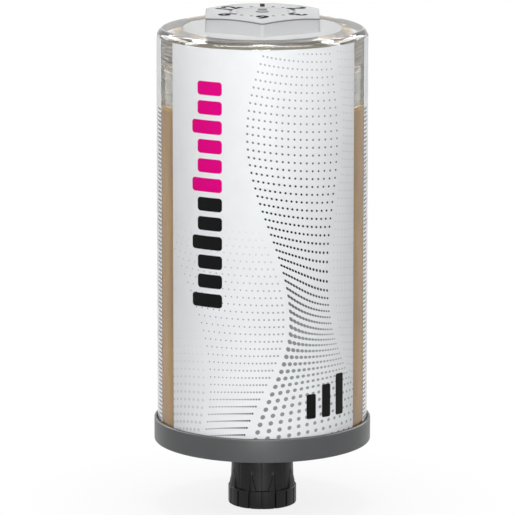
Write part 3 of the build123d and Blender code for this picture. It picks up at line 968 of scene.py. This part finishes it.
class LUBRICATOR_OT_dial(PieceMaker, Operator):
    """The selector's figures and dots, and the rotor with its pointer"""

    bl_idname = "lubricator.dial"
    bl_label = "Dial"

    # Half the thickness of the figures and dots, and the level of their middle just over the head's face
    HALF_THICKNESS = 0.012 * MM
    LEVEL = HEAD_HIGH.z * MM - 0.016 * MM
    # The text size that a figure's height needs, and how far its strokes are made bolder
    SIZE_FOR_HEIGHT = 1.35
    BOLD = 0.06

    @classmethod
    def figure(cls, context, text, angle, height, radius):
        """A figure at an angle round the dial, whose foot points to the middle."""
        # The six is a nine turned round
        flip = -1 if text == "6" else 1
        lettering = bpy.data.curves.new("figure", "FONT")
        lettering.body = text.replace("6", "9")
        lettering.size = height * cls.SIZE_FOR_HEIGHT
        lettering.align_x, lettering.align_y = "CENTER", "CENTER"
        lettering.extrude = cls.HALF_THICKNESS
        lettering.offset = cls.BOLD * height
        lettering.resolution_u = 6
        stencil = stand("figure", lettering)
        context.view_layer.update()
        mesh = bpy.data.meshes.new_from_object(stencil.evaluated_get(context.evaluated_depsgraph_get()))
        bpy.data.objects.remove(stencil)
        bpy.data.curves.remove(lettering)
        for vertex in mesh.vertices:
            x, y, z = vertex.co
            x, y = x * flip, y * flip + radius
            vertex.co = (x * cos(angle) - y * sin(angle), x * sin(angle) + y * cos(angle), cls.LEVEL + z)
        mesh.materials.clear()
        return stand("dial_figure_" + text, mesh)

    @classmethod
    def dots(cls, radius, circle):
        """Two dots between each figure and the next."""
        form = bmesh.new()
        places = 18
        for index in range(places):
            if index % 3 == 0:
                continue
            turn = pi / 2 - index * TURN / places
            disc = bmesh.ops.create_cone(
                form, cap_ends=True, segments=20, radius1=radius, radius2=radius * 0.95,
                depth=2 * cls.HALF_THICKNESS,
            )
            place = (cos(turn) * circle, sin(turn) * circle, cls.LEVEL)
            bmesh.ops.translate(form, verts=disc["verts"], vec=place)
        return stand("dial_dots", mesh_of("dial_dots", form))

    @staticmethod
    def pointer(colours):
        """The rotor's plastic, with the floor of the pointer's groove painted half dark."""
        finish = Finish("rotor_moulding", specular_ior_level=0.35)
        cloud = finish.grain(90.0, 3.0)
        level = finish.axes()[2] - ROTOR_TOP
        # The floor of the pointer's groove is painted half dark
        groove = level.above(-0.4) * (1 - level.above(-0.15))
        plastic = finish.mix(cloud, shade(colours.head, 0.9), shade(colours.head, 0.96))
        finish.paint(finish.mix(groove * 0.5, plastic, colours.ink))
        finish.roughen(cloud * 0.12 + 0.35)
        finish.bump(finish.grain(2400.0, 5.0), 0.5, 0.015)
        return finish.material

    def execute(self, context):
        sizes, colours = self.settings(context)
        ink = moulded("dial_ink", colours.ink, 0.75, 0.2, grain=3000.0, depth=0.005, specular_ior_level=0.1)
        figures = ("1", "2", "3", "6", "9", "12")
        for index, figure in enumerate(figures):
            angle = -index * TURN / len(figures)
            piece = self.figure(context, figure, angle, sizes.figure_height, sizes.figure_radius)
            dress(piece, "generator", "black_plastic", [], ink)
        # The dots stand on a smaller circle than the figures
        dots = self.dots(sizes.dot_size, sizes.figure_radius * 0.82)
        dress(dots, "generator", "black_plastic", [], ink)
        coat("selector_rotor", self.pointer(colours))
        return {"FINISHED"}


class LUBRICATOR_OT_inner_parts(PieceMaker, Operator):
    """Finishes for what is sealed inside: the cell, its contacts, the board and the liner"""

    bl_idname = "lubricator.inner_parts"
    bl_label = "Inner Parts"

    @staticmethod
    def lacquer():
        """The board's green lacquer over rings of copper."""
        finish = Finish("board_lacquer", coat_weight=0.5)
        weave = finish.node(
            "ShaderNodeTexWave", {"wave_type": "RINGS", "rings_direction": "Z"},
            {"Vector": finish.place(), "Scale": 260.0, "Distortion": 1.5},
        )
        copper = finish.maths("GREATER_THAN", weave, 0.82)
        finish.paint(finish.mix(copper, pigment(22, 92, 58), pigment(190, 150, 70)))
        finish.roughen(weave * 0.1 + 0.3)
        finish.bump(weave, 0.3, 0.05)
        return finish.material

    def execute(self, context):
        _, colours = self.settings(context)
        coat("generator_cover", moulded("cover_moulding", shade(colours.head, 0.9), 0.45, 0.04))
        coat("cell_holder", moulded("holder_moulding", pigment(190, 192, 190), 0.45, 0.06))
        coat("cap_liner", moulded("liner_rubber", pigment(214, 212, 200), 0.6, 0.08))
        cloth = moulded("membrane_cloth", pigment(236, 234, 226), 0.8, 0.05, grain=5200.0, depth=0.04)
        coat("vent_membrane", cloth)
        coat("gas_cell", brushed_metal("cell_steel", pigment(196, 197, 200), 0.3))
        coat("selector_clip", brushed_metal("clip_steel", pigment(150, 152, 158), 0.35))
        brass = brushed_metal("contact_brass", pigment(206, 172, 96), 0.3)
        for node in ("positive_contact", "negative_contact", "wiper_contact"):
            coat(node, brass)
        coat("circuit_board", self.lacquer())
        coat("resistors", moulded("resistor_ceramic", pigment(60, 56, 52), 0.35, 0.3))
        return {"FINISHED"}


class LUBRICATOR_OT_studio(PieceMaker, Operator):
    """The pale floor, the soft lamps and the camera"""

    bl_idname = "lubricator.studio"
    bl_label = "Studio"

    @staticmethod
    def turn_to(thing, place, aim):
        """Puts a lamp or camera at a place and turns it towards another."""
        thing.location = place
        thing.rotation_euler = (Vector(aim) - Vector(place)).to_track_quat("-Z", "Y").to_euler()

    @classmethod
    def lamp(cls, name, place, width, height, power, soft=True, spread=180.0):
        """A lamp that shines on the object's middle; one that isn't soft shows in gloss alone."""
        light = bpy.data.lights.new(name, "AREA")
        light.shape, light.size, light.size_y, light.energy = "RECTANGLE", width, height, power
        light.spread = radians(spread)
        lamp = stand(name, light)
        lamp.visible_diffuse = soft
        cls.turn_to(lamp, place, (0, 0, 0.06))

    @staticmethod
    def floor(size):
        """A pale paper floor, which is white to the camera but for the object's shadow near its foot."""
        form = bmesh.new()
        bmesh.ops.create_grid(form, x_segments=1, y_segments=1, size=size / 2)
        floor = stand("floor", mesh_of("floor", form))
        paper = Finish("floor_paper", roughness=0.9)
        fibre = paper.grain(60.0, 4.0)
        paper.paint(paper.mix(fibre, pigment(176, 176, 176), pigment(182, 182, 182)))
        away = paper.out().above(35, 50) * 0.15 + 0.85
        white = paper.node("ShaderNodeEmission", None, {"Color": (1, 1, 1), "Strength": 1.0})
        paper.show(paper.blend(paper.looked_at() * away, paper.surface, white))
        floor.data.materials.append(paper.material)

    @staticmethod
    def room(scene, strength):
        """A dim light from all round, behind a backdrop that looks white."""
        scene.world = scene.world or bpy.data.worlds.new("room")
        scene.world.use_nodes = True
        air = NodeTree(scene.world.node_tree)
        dim, white = (
            air.node("ShaderNodeBackground", None, {"Color": (1, 1, 1), "Strength": level})
            for level in (strength, 1.0)
        )
        air.node("ShaderNodeOutputWorld", None, {"Surface": air.blend(air.looked_at(), dim, white)})

    def execute(self, context):
        studio = context.scene.lubricator_studio
        self.floor(studio.floor_size)
        self.room(context.scene, studio.room)
        self.lamp("front_lamp", (-0.03, -1.2, 0.24), 0.4, 0.45, studio.key)
        sides = (("left", -1), ("right", 1))
        for side, sign in sides:
            self.lamp(f"{side}_card", (sign * 0.75, 0.35, 0.6), 1.0, 0.3, studio.side, soft=False)
        self.lamp("high_card", (0, -0.35, 0.8), 1.4, 0.25, studio.high, soft=False)
        for side, sign in sides:
            self.lamp(f"rear_{side}_lamp", (sign * 0.8, 0.85, 0.45), 0.5, 0.5, studio.rear)
        self.lamp("top_lamp", (0, 0, 0.9), 0.25, 0.25, studio.top, spread=20.0)

        camera = bpy.data.cameras.new("camera")
        camera.lens, camera.sensor_width = studio.lens, 36
        camera.clip_start, camera.clip_end = 0.01, 20
        aim = Vector((studio.aim_side, 0, studio.aim_height))
        away = Vector((0, -cos(studio.elevation), sin(studio.elevation)))
        eye = stand("camera", camera)
        self.turn_to(eye, aim + away * studio.distance, aim)
        context.scene.camera = eye
        context.scene.view_settings.view_transform = "Standard"
        return {"FINISHED"}


MAKERS = (
    LUBRICATOR_OT_casing,
    LUBRICATOR_OT_base,
    LUBRICATOR_OT_cap,
    LUBRICATOR_OT_labels,
    LUBRICATOR_OT_grease,
    LUBRICATOR_OT_piston,
    LUBRICATOR_OT_head,
    LUBRICATOR_OT_dial,
    LUBRICATOR_OT_inner_parts,
    LUBRICATOR_OT_studio,
)


class LUBRICATOR_PT_panel(Panel):
    """The lubricator's makers and their settings"""

    bl_idname = "LUBRICATOR_PT_panel"
    bl_label = "Lubricator"
    bl_space_type = "VIEW_3D"
    bl_region_type = "UI"
    bl_category = "Lubricator"

    def draw(self, context):
        for group in (getattr(context.scene, name) for name in GROUPS):
            box = self.layout.box()
            for name in group.__annotations__:
                box.prop(group, name)
        for maker in MAKERS:
            self.layout.operator(maker.bl_idname)


GROUPS = {
    "lubricator_sizes": LubricatorSizes,
    "lubricator_colours": LubricatorColours,
    "lubricator_studio": StudioSettings,
}


def register():
    for group in GROUPS.values():
        bpy.utils.register_class(group)
    for name, group in GROUPS.items():
        setattr(bpy.types.Scene, name, PointerProperty(type=group))
    for maker in (*MAKERS, LUBRICATOR_PT_panel):
        bpy.utils.register_class(maker)


def unregister():
    for maker in reversed((*MAKERS, LUBRICATOR_PT_panel)):
        bpy.utils.unregister_class(maker)
    for name, group in GROUPS.items():
        delattr(bpy.types.Scene, name)
        bpy.utils.unregister_class(group)


def main():
    register()
    for maker in MAKERS:
        family, name = maker.bl_idname.split(".")
        getattr(getattr(bpy.ops, family), name)()
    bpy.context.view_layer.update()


if __name__ == "__main__":
    main()
